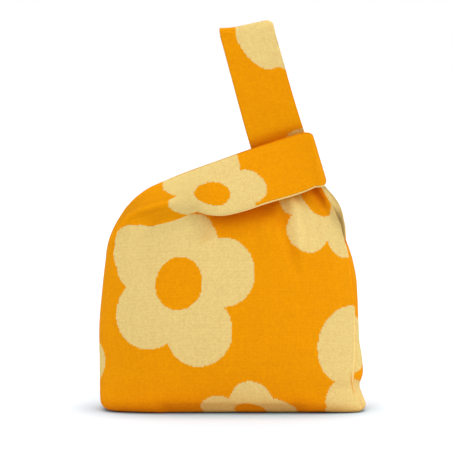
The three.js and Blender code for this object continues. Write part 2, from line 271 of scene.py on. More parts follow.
# The short handle from the shoulder to where its end starts to turn. Its upper edge has the columns with a
# 0, its middle line those with a 1 and its lower edge those with a 2.
SHORT_HANDLE = table(
    "turn x0 y0 z0 x1 y1 z1 x2 y2 z2",
    (0, -98.5, 4, 187.3, -91, 18.5, 182.3, -72, 27, 175),
    (1.5, -89, 6, 197.3, -81, 22, 187.5, -62, 29.3, 177.5),
    (3, -77, 7.5, 206, -69, 25, 190.5, -53, 31.5, 179.3),
    (4.5, -61, 9.5, 213.3, -53, 27.5, 195, -42, 33, 181.5),
    (6, -45, 12, 219.8, -38, 28, 200, -33, 34.5, 186.2),
    (8, -29, 13.5, 225.6, -25, 29.5, 204, -22, 37, 184),
    (10, -12, 14.5, 231.8, -9, 29.5, 207, -8, 37.5, 183.4),
    (12, 6, 15, 238.3, 8.5, 28, 212, 10, 36, 187.3),
    (14, 23, 15, 244.3, 28, 25, 218, 31, 31.5, 194),
    (16, 40, 14.7, 250, 46, 20, 223.5, 52, 25.5, 199.6),
    (18, 56, 14, 255, 62.5, 16.5, 229, 67, 19.5, 204.3),
    (19, 65, 13.3, 257.5, 71, 14, 232, 76, 15, 208),
)
SHORT_START = 19  # turn where the end of the loop begins
# How far on and how far up its end goes, at the upper and the lower edge, and how tightly it turns (2 is an
# ellipse).
SHORT_END = {"reach": (8.8, 9.8), "rise": (-5.5, 5), "blunt": 4}
REAR_DROP = 0.9  # the back half hangs this much lower along its upper edge
# The long handle: its left and right edges, its depth at the left edge, the middle and the right edge, the
# depth of a fold beside the right edge, and how much further right the back panel's edge lies.
LONG_HANDLE = table(
    "row xl zl xr zr yl ym yr dip rear",
    (0, 8, 204, 98.6, 174, 21.5, 17, 11, 2, 4.8),
    (1, 13, 213.5, 93.6, 185, 17.5, 14, 9.5, 2.6, 7.4),
    (2, 17, 223, 87.6, 196, 13.5, 11.5, 8, 2.6, 7.4),
    (3, 18.5, 232, 80.5, 209, 11.5, 10, 7, 1.4, 3.5),
    (4, 17.5, 241.5, 75.8, 224, 10, 9.3, 7.5, 0, 0),
    (5, 15, 250, 70.5, 241, 9.3, 9, 8.5, 0, 0),
    (6, 12.3, 259, 66, 256.5, 9.5, 9, 9.3, 0, 0.5),
    (9, 4.2, 288.5, 56.8, 286, 11.2, 11.2, 11.2, 0, 0),
    (13, -5.8, 326, 46, 323, 11, 11, 11, 0, 0),
    (15, -11.2, 345.5, 39.2, 347, 9, 9.2, 9, 0, 0),
)
DIP_AT = 0.86  # of the way across
DIP_WIDTH = 0.08
REAR_DIP = 3  # how many times deeper that fold is in the back panel
REAR_FORWARD = 0.1  # how far the back panel's edge comes forward, for each millimetre further right
LONG_START = 15  # row where the loop turns over at the top
LONG_BLUNT = 3.2  # how tightly it turns (2 is an ellipse)
LONG_END = table(
    "share x z",
    (0, -12.1, 352.6),
    (0.25, 1, 353.4),
    (0.5, 13, 356),
    (0.75, 25, 358.6),
    (0.9, 32.5, 359.8),
    (1, 36.8, 357.2),
)
sections = len(SHORT_HANDLE["turn"]) + len(LONG_HANDLE["row"])
print(len(BODY["z"]), "levels of the body and", sections, "sections of the handles")

# %% [markdown]
# A few rows only pin the shape down. `between` runs a smooth curve through a column, so the same tables
# give a coarse or a fine surface. Whole arrays go through it at once, because numpy works on an array much
# faster than Python works on its numbers one by one.

# %% Reading the tables
OUTLINE_STEPS = 240


def smooth(t):
    """Goes gently from 0 to 1 as t does, and stays there."""
    s = np.clip(t, 0, 1)
    return s * s * (3 - 2 * s)


def mix(a, b, t):
    """a where t is 0, b where t is 1, and in between otherwise."""
    return a + (b - a) * t


def between(columns, key, at):
    """A smooth value between the rows of a table."""
    x = next(iter(columns.values()))
    y = columns[key]
    before = np.maximum(np.arange(len(x)) - 1, 0)
    after = np.minimum(np.arange(len(x)) + 1, len(x) - 1)
    slope = (y[after] - y[before]) / (x[after] - x[before])
    i = np.clip(np.searchsorted(x, at) - 1, 0, len(x) - 2)
    span = x[i + 1] - x[i]
    t = np.clip((at - x[i]) / span, 0, 1)
    rise = (2 * t**3 - 3 * t**2 + 1) * y[i] + (3 * t**2 - 2 * t**3) * y[i + 1]
    return rise + span * ((t**3 - 2 * t**2 + t) * slope[i] + (t**3 - t**2) * slope[i + 1])


def through(a, b, c, t):
    """Points on a curve through three points, t from 0 to 1."""
    t = np.asarray(t)[:, None]
    return a * (1 - t) * (1 - 2 * t) + b * 4 * t * (1 - t) + c * t * (2 * t - 1)


def wall(share, z, back):
    """Points of the wall at shares of the way along its level outlines, left seam to right seam."""
    share, z = np.broadcast_arrays(np.asarray(share, float), np.asarray(z, float))
    left, right, seam, front, rear, square = (between(BODY, key, z) for key in list(BODY)[1:])
    middle = (left + right) / 2
    half = (right - left) / 2
    end = np.arccos(-(((seam - middle) / half) ** (square / 2)))
    turn = (end - 2 * np.pi * back)[:, None] * np.linspace(0, 1, OUTLINE_STEPS + 1)
    depth = np.where(turn > 0, front[:, None], rear[:, None])

    def blunt(v):
        return np.sign(v) * np.abs(v) ** (2 / square)[:, None]

    x = middle[:, None] - half[:, None] * blunt(np.cos(turn))
    y = -depth * blunt(np.sin(turn))
    run = np.cumsum(np.hypot(np.diff(x), np.diff(y)), axis=1)
    run = np.hstack([np.zeros((len(run), 1)), run])
    wanted = share * run[:, -1]
    i = np.clip((run < wanted[:, None]).sum(axis=1) - 1, 0, OUTLINE_STEPS - 1)
    n = np.arange(len(i))
    t = (wanted - run[n, i]) / (run[n, i + 1] - run[n, i])
    return np.column_stack([mix(x[n, i], x[n, i + 1], t), mix(y[n, i], y[n, i + 1], t), z])


def top_row(share, back):
    """Points of the body's top row at shares of the way across."""
    columns = REAR_TOP_ROW if back else TOP_ROW
    depth = between(columns, "depth", share) * (1 if back else -1)
    return np.column_stack([between(columns, "x", share), depth, between(columns, "z", share)])


print("62 mm up, the body is", round(2 * abs(wall([0.5], [62], False)[0, 1]), 1), "mm deep")

# %% [markdown]
# The three parts of a panel are the body with its half of the base, the short handle, and the long one.
# Each function gives one row of points. The rows of the body start at the seam in the base. They go out
# over the floor, round the corner and up the wall to the top row, which bends the wall towards itself.

# %% Rows of the body
CORNER_SHARE = 0.16  # of the width, over which the base's corner grows from each side
CORNER_LIMIT = 0.8  # of the way from the seam in the base to the wall, as far as the corner may take


def body_row(share, row, back):
    """Row 0 is the seam in the base, and the last row is the top row."""
    ground = FABRIC / 2
    if row > ROWS["base"]:
        top = top_row(share, back)
        reach = between(REAR_TOP_ROW if back else TOP_ROW, "reach", share)
        z = mix(BASE_BAND, top[:, 2], (row - ROWS["base"]) / ROWS["wall"])
        under = wall(share, top[:, 2], back)
        pull = 1 - smooth((top[:, 2] - z) / reach)
        return wall(share, z, back) + (top - under) * pull[:, None]
    seam = np.column_stack([mix(BASE_LEFT, BASE_RIGHT, share), share * wall([1], [0], False)[0, 1]])
    foot = wall(share, np.zeros(len(share)), back)[:, :2]
    run = np.hypot(*(foot - seam).T)
    corner = mix(*BASE_CORNER, smooth(np.minimum(share, 1 - share) / CORNER_SHARE))
    radius = np.minimum(corner, CORNER_LIMIT * run)
    flat = run - radius
    bend = np.pi / 2 * radius
    wanted = (flat + bend + BASE_BAND - ground - radius) * row / ROWS["base"]
    angle = np.clip((wanted - flat) / radius, 0, np.pi / 2)
    z = ground + radius * (1 - np.cos(angle)) + np.maximum(0, wanted - flat - bend)
    out = np.where(wanted < flat, wanted, flat + radius * np.sin(angle)) / run
    edge = np.where((wanted < flat)[:, None], foot, wall(share, z, back)[:, :2])
    return np.column_stack([mix(seam, edge, out[:, None]), z])


half_way = body_row(np.linspace(0, 1, 5), ROWS["base"] / 2, False)
print("row half way to the wall:", half_way[:, 2].round(1), "mm above the floor")

# %% [markdown]
# The handles start on the body's top row, so their first rows are eased onto it. A handle is a band with a
# slightly round section, drawn through three points: its two edges and its middle. At its end the front
# and the back half meet in a seam, so the last rows turn towards each other.

# %% Rows of the handles
EASE_ROWS = 1.5  # rows over which a handle leaves the shape of the top row


def short_row(turn, across, back):
    """across goes from 0 at the upper edge to 1 at the lower edge."""
    side = 1 if back else -1

    def read(line, at=min(turn, SHORT_START)):
        x, y, z = (between(SHORT_HANDLE, axis + line, at) for axis in "xyz")
        return np.array([x, side * y, z])

    lower = read("2")
    if turn <= COLUMNS["fold"]:
        lower = top_row(np.array([mix(FOLD, NOTCH, turn / COLUMNS["fold"])]), back)[0]
    points = through(read("0"), read("1"), lower, across)
    ease = 1 - smooth(turn / EASE_ROWS)
    start = through(*[read(line, 0) for line in "012"], across)
    points += (top_row(FOLD * across, back) - start) * ease
    angle = np.pi / 2 * max(0, (turn - SHORT_START) / ROWS["loop"])
    if back:
        points[:, 2] -= REAR_DROP * (1 - across) * smooth(turn / COLUMNS["fold"]) * np.cos(angle)
    if turn > SHORT_START:
        power = 2 / SHORT_END["blunt"]
        points[:, 0] += mix(*SHORT_END["reach"], across) * np.sin(angle) ** power
        points[:, 1] *= abs(np.cos(angle)) ** power
        points[:, 2] += mix(*SHORT_END["rise"], across) * (1 - np.cos(angle))
    return points


def long_row(row, across, back):
    """across goes from 0 at the left edge to 1 at the right edge."""
    side = 1 if back else -1

    def shape(at):
        columns = list(LONG_HANDLE)[1:]
        xl, zl, xr, zr, yl, ym, yr, dip, rear = (between(LONG_HANDLE, key, at) for key in columns)
        rear = rear if back else 0
        left = np.array([xl, side * yl, zl])
        right = np.array([xr + rear, side * (yr - REAR_FORWARD * rear), zr])
        middle = (left + right) / 2
        middle[1] = side * ym
        points = through(left, middle, right, across)
        deeper = REAR_DIP if back else 1
        points[:, 1] -= side * dip * deeper * np.exp(-(((across - DIP_AT) / DIP_WIDTH) ** 2))
        return points

    points = shape(min(row, LONG_START))
    ease = 1 - smooth(row / EASE_ROWS)
    points += (top_row(mix(HANDLE, 1, across), back) - shape(0)) * ease
    if row > LONG_START:
        angle = np.pi / 2 * (row - LONG_START) / ROWS["loop"]
        inward, rise = (abs(part(angle)) ** (2 / LONG_BLUNT) for part in (np.cos, np.sin))
        points[:, 0] = mix(points[:, 0], between(LONG_END, "x", across), rise)
        points[:, 1] *= inward
        points[:, 2] = mix(points[:, 2], between(LONG_END, "z", across), rise)
    return points


print("top row runs from", top_row(np.array([0.0]), False)[0], "to", top_row(np.array([1.0]), False)[0])

# %% [markdown]
# ## One sheet from three parts
#
# The rows are joined into one surface: the handles share their first row with the body's top row, and the
# start of the short handle shares its lower edge with the fold in that row. Beside each point goes its
# place on the flat knit, in metres, because the stitches and the flowers are drawn there, as they were
# knitted, before the bag was filled. Along the fold the two sides have different places on the knit: what
# lies between them is tucked away.

# %% The surface of a panel
FINE = 5  # cells of the fine grid along one cell of the solid
GIRTH = 0.275  # metres of knit from side seam to side seam
STRAP = 0.052  # width of the long handle's knit
GATHERED_ROWS = 6  # rows over which the knit of the body runs together into the long handle
# Extra columns beside each seam, from millimetres to shares of the width.
BESIDE_SEAM = np.array([0.4, 0.8, 1.2, 1.7, 2.3, 3]) / METRE / GIRTH


def fine_shares():
    """Shares of the width for the columns of the fine grid, closer together beside the seams."""
    values = [BESIDE_SEAM, 1 - BESIDE_SEAM]
    start = 0
    for name, end in (("shoulder", FOLD), ("fold", NOTCH), ("neck", HANDLE), ("handle", 1)):
        values.append(np.linspace(start, end, COLUMNS[name] * FINE + 1)[:-1])
        start = end
    values.append(np.ones(1))
    return np.unique(np.concatenate(values).round(9))


def lengths_up(grid):
    """How far up each column of a grid of points its rows lie, in metres."""
    steps = np.linalg.norm(np.diff(grid, axis=0), axis=2) / METRE
    return np.vstack([np.zeros(grid.shape[1]), np.cumsum(steps, axis=0)])


def panel_grids(back):
    """The three parts as grids of points, in millimetres, and of places on the flat knit, in metres."""
    shares = fine_shares()
    body_rows = np.arange((ROWS["base"] + ROWS["wall"]) * FINE + 1) / FINE
    body = np.array([body_row(shares, row, back) for row in body_rows])
    up = lengths_up(body)
    up -= up[ROWS["base"] * FINE]
    knit_x = (shares - 0.5) * GIRTH
    body_knit = np.dstack([np.broadcast_to(knit_x, up.shape), up])

    across = shares[: np.searchsorted(shares, FOLD) + 1] / FOLD
    turns = np.arange((SHORT_START + ROWS["loop"]) * FINE + 1) / FINE
    short = np.array([short_row(turn, across, back) for turn in turns])
    short[0] = body[-1, : len(across)]
    along = lengths_up(short).mean(axis=1)
    start = up[-1, : len(across)]
    short_x = np.broadcast_to(knit_x[: len(across)], short.shape[:2])
    short_knit = np.dstack([short_x, start + along[:, None]])

    across = (shares[np.searchsorted(shares, HANDLE) :] - HANDLE) / (1 - HANDLE)
    rows = np.arange((LONG_START + ROWS["loop"]) * FINE + 1) / FINE
    long = np.array([long_row(row, across, back) for row in rows])
    long[0] = body[-1, -len(across) :]
    along = lengths_up(long).mean(axis=1)
    gathered = smooth(rows / GATHERED_ROWS)
    first, last = knit_x[-len(across)], knit_x[-1]
    width = mix(last - first, STRAP, gathered)
    start = up[-1, -len(across) :]
    start = mix(start, start.mean(), gathered[:, None])
    long_knit = np.dstack([(first + last) / 2 + width[:, None] * (across - 0.5), start + along[:, None]])
    return {"body": (body, body_knit), "short": (short, short_knit), "long": (long, long_knit)}


front_grids = panel_grids(False)
for name, (points, knit) in front_grids.items():
    low, high = knit.min(axis=(0, 1)), knit.max(axis=(0, 1))
    print(name, points.shape[:2], "knit from", low.round(3), "to", high.round(3))

# %% [markdown]
# The grids now become one list of points. A point that two grids share gets one number, so that the
# surface has no split where a handle starts.

# %% Joining the grids
def joined(grids):
    """The points of a panel, and for each grid the numbers of its points."""
    body = grids["body"][0]
    lists = [body.reshape(-1, 3)]
    numbers = {"body": np.arange(len(lists[0])).reshape(body.shape[:2])}
    top = numbers["body"][-1]
    count = len(lists[0])
    for name in ("short", "long"):
        grid = grids[name][0]
        own = np.ones(grid.shape[:2], bool)
        number = np.zeros(grid.shape[:2], int)
        own[0] = False
        if name == "short":
            number[0] = top[: grid.shape[1]]
            fold = slice(0, COLUMNS["fold"] * FINE + 1)
            own[fold, -1] = False
            number[fold, -1] = top[grid.shape[1] - 1 :][fold]
        else:
            number[0] = top[-grid.shape[1] :]
        number[own] = count + np.arange(own.sum())
        count += own.sum()
        lists.append(grid[own])
        numbers[name] = number
    return np.vstack(lists), numbers


def cells_of(numbers, knit, back):
    """Four-sided cells that face outwards, with the place of each corner on the flat knit."""
    first, second = slice(0, -1), slice(1, None)
    corners = [(first, first), (first, second), (second, second), (second, first)]
    if back:
        corners.reverse()
    cells = np.stack([numbers[c] for c in corners], axis=-1).reshape(-1, 4)
    places = np.stack([knit[c] for c in corners], axis=-2).reshape(-1, 4, 2)
    return cells, places


def normals_of(points, cells):
    """The way out of the surface at each point, from the cells around it."""
    a, b, c, d = (points[cells[:, k]] for k in range(4))
    across = np.cross(c - a, d - b)
    normals = np.zeros_like(points)
    for k in range(4):
        np.add.at(normals, cells[:, k], across)
    return normals / np.linalg.norm(normals, axis=1)[:, None]


def eased(points, cells, loose, times):
    """Moves each point towards the middle of its neighbours, as far as loose (0 to 1) lets it."""
    here = cells.T.ravel()
    following = np.roll(cells, -1, axis=1).T.ravel()
    starts = np.concatenate([here, following])
    ends = np.concatenate([following, here])
    count = np.bincount(starts, minlength=len(points))[:, None]
    for _ in range(times):
        total = np.zeros_like(points)
        np.add.at(total, starts, points[ends])
        points = points + 0.5 * loose[:, None] * (total / count - points)
    return points


front_points, front_numbers = joined(front_grids)
print(len(front_points), "points in the front panel")

# %% [markdown]
# ## From a surface to a knitted sheet
#
# The Solidify modifier could give the sheet its thickness, but then its edges would be square. A knitted
# edge is round and soft, and where two panels are linked, their edges lie flat against each other. So the
# two faces and the rim are made here: `near` tells how close a point is to the other panel's matching
# point.

# %% Edges of a panel
SEAM_GAP = 0.02  # millimetres between the panels, too little to see through
SEAM_FADE = 4  # millimetres between matching points, from where on an edge is free
RIM_STEPS = 6
RIM_BULGE = 0.9  # millimetres that a free edge stands out
RIM_INSET = 0.5  # and how far the sheet stops short of the solid's edge
RIM_STEP = np.pi * FABRIC / 2 / METRE / RIM_STEPS  # metres of knit from one step of the rim to the next
SHARP_EDGE = math.radians(60)  # an edge that turns more than this isn't shaded as round


def edge_sides(numbers):
    """The edges of a panel in order, each with the grid it comes from and the way out on the flat knit."""
    body, short, long = numbers["body"], numbers["short"], numbers["long"]
    cols = body.shape[1]
    notch = short.shape[1] - 1 + COLUMNS["fold"] * FINE
    neck = slice(cols - long.shape[1], notch - 1, -1)
    free = slice(COLUMNS["fold"] * FINE, None)
    sides = [
        ("base seam", "body", (0, slice(None)), (0, -1)),
        ("right seam", "body", (slice(None), -1), (1, 0)),
        ("long right", "long", (slice(None), -1), (1, 0)),
        ("long end", "long", (-1, slice(None, None, -1)), (0, 1)),
        ("long left", "long", (slice(None, None, -1), 0), (-1, 0)),
        ("neck", "body", (-1, neck), (0, 1)),
        ("short lower", "short", (free, -1), (1, 0)),
        ("short end", "short", (-1, slice(None, None, -1)), (0, 1)),
        ("short upper", "short", (slice(None, None, -1), 0), (-1, 0)),
        ("left seam", "body", (slice(None, None, -1), 0), (-1, 0)),
    ]
    return sides


def edge_ring(numbers):
    """The numbers of all edge points once round, without repeats."""
    ring = []
    for _, grid, where, _ in edge_sides(numbers):
        for number in numbers[grid][where]:
            if not ring or ring[-1] != number:
                ring.append(number)
    return np.array(ring[:-1] if ring[0] == ring[-1] else ring)


ring = edge_ring(front_numbers)
print(len(ring), "points round the edge, each once:", len(ring) == len(set(ring)))

# %% The middle surface
def flat_normals(normals, near):
    """At a seam the sheet is thickened along the seam, so that the two panels meet face to face."""
    kept = normals.copy()
    kept[:, 1] *= 1 - near
    return kept / np.linalg.norm(kept, axis=1)[:, None]


def panel_shape(back, shape_it):
    """The middle surface of a panel, shaped with shape_it, and all that describes it."""
    grids = panel_grids(back)
    points, numbers = joined(grids)
    others = joined(panel_grids(not back))[0]
    near = 1 - smooth(np.linalg.norm(points - others, axis=1) / SEAM_FADE)
    parts = [cells_of(numbers[name], grids[name][1], back) for name in ("body", "short", "long")]
    cells = np.vstack([part[0] for part in parts])
    places = np.vstack([part[1] for part in parts])
    points = shape_it(points, near, cells, grids, numbers, back)
    normals = flat_normals(normals_of(points, cells), near)
    points[:, 1] += near * SEAM_GAP / 2 * (1 if back else -1)
    return grids, numbers, points, normals, near, cells, places


# %% [markdown]
# The rim goes round from one face to the other in a few steps. Its place on the knit goes on past the
# edge, so that the stitches run over it without a break. The edge under the short handle gets a slot of
# its own, because the last row there is knitted in cream alone.

# %% The rounded rim
def way_out(points, normals, near, ring, back):
    """The way out of the sheet at each point of its edge, and nothing where the panels are linked."""
    tangent = np.roll(points[ring], -1, axis=0) - np.roll(points[ring], 1, axis=0)
    out = np.cross(tangent * (-1 if back else 1), normals[ring])
    return out * ((1 - near[ring]) / np.linalg.norm(out, axis=1))[:, None]


def rim_cells(grids, numbers, ring, count, back):
    """The cells of the rounded rim, step by step from one face of the sheet to the other."""
    cells, places, slots = [], [], []
    step = {number: k for k, number in enumerate(ring)}
    for side, grid, where, way in edge_sides(numbers):
        line = numbers[grid][where]
        place = grids[grid][1][where]
        at = np.array([step[number] for number in line])
        levels = [line] + [2 * count + k * len(ring) + at for k in range(RIM_STEPS - 1)] + [line + count]
        for k in range(RIM_STEPS):
            low = place + np.array(way) * k * RIM_STEP
            high = place + np.array(way) * (k + 1) * RIM_STEP
            quad = np.stack([levels[k][1:], levels[k][:-1], levels[k + 1][:-1], levels[k + 1][1:]], axis=-1)
            uv = np.stack([low[1:], low[:-1], high[:-1], high[1:]], axis=-2)
            cells.append(quad[:, ::-1] if back else quad)
            places.append(uv[:, ::-1] if back else uv)
            slot = 2 if side == "short lower" else int(k >= RIM_STEPS / 2)
            slots.append(np.full(len(quad), slot))
    return cells, places, slots


print("the rim has", RIM_STEPS, "steps with", round(RIM_STEP * METRE, 2), "mm of knit each")

# %% The sheet
def mesh_from_arrays(name, vertices, faces, uvs, slots):
    """A mesh of four-sided faces, filled from whole arrays because that is much quicker than one by one."""
    mesh = bpy.data.meshes.new(name)
    mesh.vertices.add(len(vertices))
    mesh.vertices.foreach_set("co", vertices.ravel())
    mesh.loops.add(faces.size)
    mesh.loops.foreach_set("vertex_index", faces.ravel())
    mesh.polygons.add(len(faces))
    mesh.polygons.foreach_set("loop_start", np.arange(len(faces)) * 4)
    mesh.polygons.foreach_set("material_index", slots)
    mesh.update(calc_edges=True)
    mesh.uv_layers.new(name="cloth").data.foreach_set("uv", uvs.ravel())
    mesh.shade_smooth()
    mesh.set_sharp_from_angle(angle=SHARP_EDGE)
    mesh.validate()
    return mesh


def knitted_sheet(name, back, shape_it):
    """A panel as a sheet of knit: its piece, its area in square metres, and what its edge loops need."""
    grids, numbers, points, normals, near, cells, places = panel_shape(back, shape_it)
    ring = edge_ring(numbers)
    out = way_out(points, normals, near, ring, back)
    points[ring] -= RIM_INSET * out

    vertices = [points + normals * FABRIC / 2, points - normals * FABRIC / 2]
    for k in range(1, RIM_STEPS):
        angle = np.pi * k / RIM_STEPS
        towards = normals[ring] * FABRIC / 2 * np.cos(angle)
        vertices.append(points[ring] + towards + out * RIM_BULGE * np.sin(angle))
    vertices = np.vstack(vertices) / METRE
    vertices[:, 2] = np.maximum(vertices[:, 2], 0)

    count = len(points)
    rim, rim_places, rim_slots = rim_cells(grids, numbers, ring, count, back)
    flipped = [0, 3, 2, 1]  # the corners of a cell on the inner face, which looks the other way
    faces = np.vstack([cells, cells[:, flipped] + count] + rim)
    uvs = np.vstack([places, places[:, flipped]] + rim_places)
    slots = np.concatenate([np.repeat([0, 1], len(cells))] + rim_slots)
    piece = bpy.data.objects.new(name, mesh_from_arrays(name, vertices, faces, uvs, slots))
    bpy.context.collection.objects.link(piece)

    a, b, c, d = (points[cells[:, k]] for k in range(4))
    area = 0.5 * np.linalg.norm(np.cross(c - a, d - b), axis=1).sum() / METRE**2
    print(name, len(vertices), "vertices,", 2 * len(faces), "triangles,", round(area, 4), "square metres")
    return piece, area, (points, normals, dict(zip(ring, out)), numbers)


# %% [markdown]
# ## Creases and folds
#
# Soft knit has few sharp folds, but each one catches the light. A fold could come from a simulation or a
# sculpting brush. Here each crease is a line on the flat knit with a height and a width, like a finger
# drawn along the cloth from inside or outside, so that it can be moved or softened by changing one row.
#
# The wall just under the short handle's fold is eased first: each of its points moves to the middle of its
# neighbours many times over, as a stretched cloth does, and the fold runs out into the wall without a dark
# line.

# %% Creases
FRONT_CREASES = [
    # height and width in millimetres (below zero is a trough), then points on the flat knit
    ("shoulder ridge", 2.3, 4.4, [(-127, 120), (-117, 147), (-110, 160), (-109, 184), (-109, 206)]),
    ("shoulder rim", -0.8, 5, [(-134, 158), (-126, 172), (-124, 200)]),
    ("below the shoulder", -0.9, 9, [(-108, 138), (-91, 122), (-75, 102), (-60, 84)]),
    ("under the notch", -3.0, 11, [(-46, 160), (-27, 146), (-16, 124)]),
    ("under the short handle", -4.0, 17, [(-22, 160), (8, 156), (36, 161), (62, 172)]),
    ("below the hollow", -2.0, 20, [(-14, 128), (20, 126), (52, 132)]),
    ("fold from the knot", 3.4, 6.5, [(70, 186), (77, 164), (82, 140), (84, 112)]),
    ("beside that fold", -2.4, 6, [(62, 170), (69, 145), (74, 118), (80, 90)]),
    ("armhole valley", -2.4, 4, [(106, 192), (111, 183), (119, 174), (125, 160)]),
    ("armhole band", -1.2, 6, [(104, 168), (102, 155), (101, 124)]),
    ("lifted base edge", -2.4, 8, [(-66, -27), (-40, -27), (0, -26), (45, -27), (88, -27)]),
    ("corner crease", -0.6, 3.6, [(137, 12), (137, -4), (134, -20)]),
    ("corner ridge", 1.2, 4, [(130, 8), (130, -10), (124, -24)]),
    ("long handle pinch", -2.4, 7, [(36, 209), (62, 222), (77, 229), (99, 236), (112, 243)]),
]
BACK_CREASES = [
    ("shoulder ridge", 1.4, 5, [(-127, 138), (-119, 151), (-112, 164), (-110, 188), (-108, 204)]),
    ("below the shoulder", -1.6, 10, [(-104, 142), (-84, 118), (-66, 88)]),
    ("under the notch", -1.4, 8, [(-30, 160), (-22, 138), (-20, 112)]),
    ("under the short handle", -2.2, 10, [(-18, 156), (8, 151), (36, 156), (62, 166)]),
    ("fold from the knot", 2.4, 8, [(66, 176), (62, 148), (52, 116)]),
    ("beside that fold", -1.6, 7, [(82, 172), (80, 145), (72, 112)]),
    ("low crease", -1.0, 9, [(-60, 6), (-30, 18), (6, 20)]),
    ("long handle pinch", -2.4, 7, [(36, 209), (62, 222), (77, 229), (99, 236), (112, 243)]),
]
print(len(FRONT_CREASES), "creases in front and", len(BACK_CREASES), "behind")

# %% Lines and unevenness
CREASE_END = 14  # millimetres over which a crease dies out
UNEVEN = ((0.45, 42), (0.22, 17))  # height and length of the soft unevenness
BACK_SEED = 50  # so that the back isn't uneven in the same places


def crease(places, line):
    """How near each place is to a line: the distance, and a fade towards the line's ends."""
    line = np.array(line, float)
    best = np.full(places.shape[:-1], np.inf)
    along = np.zeros_like(best)
    done = 0
    for a, b in zip(line, line[1:]):
        length = np.linalg.norm(b - a)
        t = np.clip(((places - a) @ (b - a)) / length**2, 0, 1)
        distance = np.linalg.norm(places - (a + t[..., None] * (b - a)), axis=-1)
        along = np.where(distance < best, done + t * length, along)
        best = np.minimum(best, distance)
        done += length
    return best, smooth(along / CREASE_END) * smooth((done - along) / CREASE_END)


def uneven(places, seed):
    """A soft unevenness without direction, the same in every run."""
    total = np.zeros(places.shape[:-1])
    for height, length in UNEVEN:
        flat = (places / length).reshape(-1, 2)
        values = [noise.noise((x, y, seed + length)) for x, y in flat]
        total += height * np.reshape(values, total.shape)
    return total


front_uneven = uneven(front_grids["body"][1] * METRE, 0)
print("highest less lowest place of the front's unevenness:", round(np.ptp(front_uneven), 2), "mm")

# %% Easing the wall
# Each limit is a value, and over how much the easing comes in or goes out there.
EASED_SHARES = ((0.12, 0.08), (0.47, 0.08))  # from side to side, as shares of the width
EASED_TO_FOLD = ((FOLD / 2, 0.06), (NOTCH - 0.03, 0.08))  # the shares where it reaches right up to the fold
EASED_BELOW = (5, 26, 14)  # millimetres below the top row: where it is full, where it fades and how fast
EASED_HANDLE = (0.3, 0.4)  # share of the way down the short handle where it comes in
EASED_TURNS = (COLUMNS["fold"] - 1, 2.5)  # turn of the short handle where it goes out
EASED_TIMES = 60


def comes_in(values, limit):
    """0 up to a limit, and 1 well above it."""
    return smooth((values - limit[0]) / limit[1])


def goes_out(values, limit):
    """1 well below a limit, and 0 above it."""
    return smooth((limit[0] - values) / limit[1])


def ease_wall(points, cells, grids, numbers):
    """Eases the wall below the short handle's fold, and the handle itself along that fold."""
    shares = fine_shares()
    up = lengths_up(grids["body"][0]) * METRE
    below = up[-1] - up
    full, fade, over = EASED_BELOW
    inside = comes_in(shares, EASED_SHARES[0]) * goes_out(shares, EASED_SHARES[1])
    at_fold = comes_in(shares, EASED_TO_FOLD[0]) * goes_out(shares, EASED_TO_FOLD[1])
    loose = np.zeros(len(points))
    downwards = mix(smooth(below / full), 1, at_fold) * (1 - smooth((below - fade) / over))
    loose[numbers["body"]] = downwards * inside
    short = numbers["short"]
    across = shares[: short.shape[1]] / FOLD
    turns = np.arange(len(short))[:, None] / FINE
    over_fold = comes_in(across, EASED_HANDLE) * goes_out(turns, EASED_TURNS)
    loose[short] = np.maximum(loose[short], over_fold)
    return eased(points, cells, loose, EASED_TIMES)


# %% [markdown]
# Where the two panels are linked, the seam stands up as a low welt with a groove beside it. The creases
# fade towards the seams. The welt runs along them, and lifts the edges of both panels alike, so that they
# still meet.

# %% Shaping the sheet
SEAM_WELT = (0.3, 0.5, 1.5)  # height at the left and at the right, and width, of the linked seam
BESIDE_WELT = (-0.12, 3.8, 1.8)  # height, distance from the seam and width of the groove beside it
WELT_FOOT = (12, 0.3)  # millimetres of height over which the welt grows, after this share of them


def crease_heights(count, grids, numbers, back):
    """How far the creases and the unevenness lift each point, in millimetres."""
    lift = np.zeros(count)
    for name in ("short", "long", "body"):
        places = grids[name][1] * METRE
        height = uneven(places, BACK_SEED * back)
        for _, rise, width, line in BACK_CREASES if back else FRONT_CREASES:
            distance, fading = crease(places, line)
            height += rise * fading * np.exp(-((distance / width) ** 2))
        lift[numbers[name]] = height
    return lift


def welt_heights(points, near, body):
    """How far the linked side seams lift the points of the body, in millimetres."""
    shares = fine_shares()
    side = np.minimum(shares, 1 - shares) * GIRTH * METRE
    left_rise, right_rise, width = SEAM_WELT
    groove, away, wide = BESIDE_WELT
    welt = np.where(shares < 0.5, left_rise, right_rise) * np.exp(-((side / width) ** 2))
    welt += groove * np.exp(-(((side - away) / wide) ** 2))
    grows, start = WELT_FOOT
    above_ground = smooth(points[body][:, :, 2] / grows - start)
    at_side = np.maximum(near[body[:, :1]] * (shares < 0.5), near[body[:, -1:]] * (shares >= 0.5))
    heights = np.zeros(len(points))
    heights[body] = welt * above_ground * at_side
    return heights


def shape_it(points, near, cells, grids, numbers, back):
    """Eases the wall under the fold, and lays the creases, the seams' welts and the unevenness."""
    points = ease_wall(points, cells, grids, numbers)
    lift = crease_heights(len(points), grids, numbers, back) * (1 - near)
    lift += welt_heights(points, near, numbers["body"])
    return points + lift[:, None] * flat_normals(normals_of(points, cells), near)


# %% [markdown]
# The short handle's lower edge is the edge of the knitting itself: each row turns round there in a small
# loop of cream yarn. A texture can't stand out from an edge, so the loops are a thin cord that swells once
# for each pair of rows. It is a piece of its own on the sheet's rim.

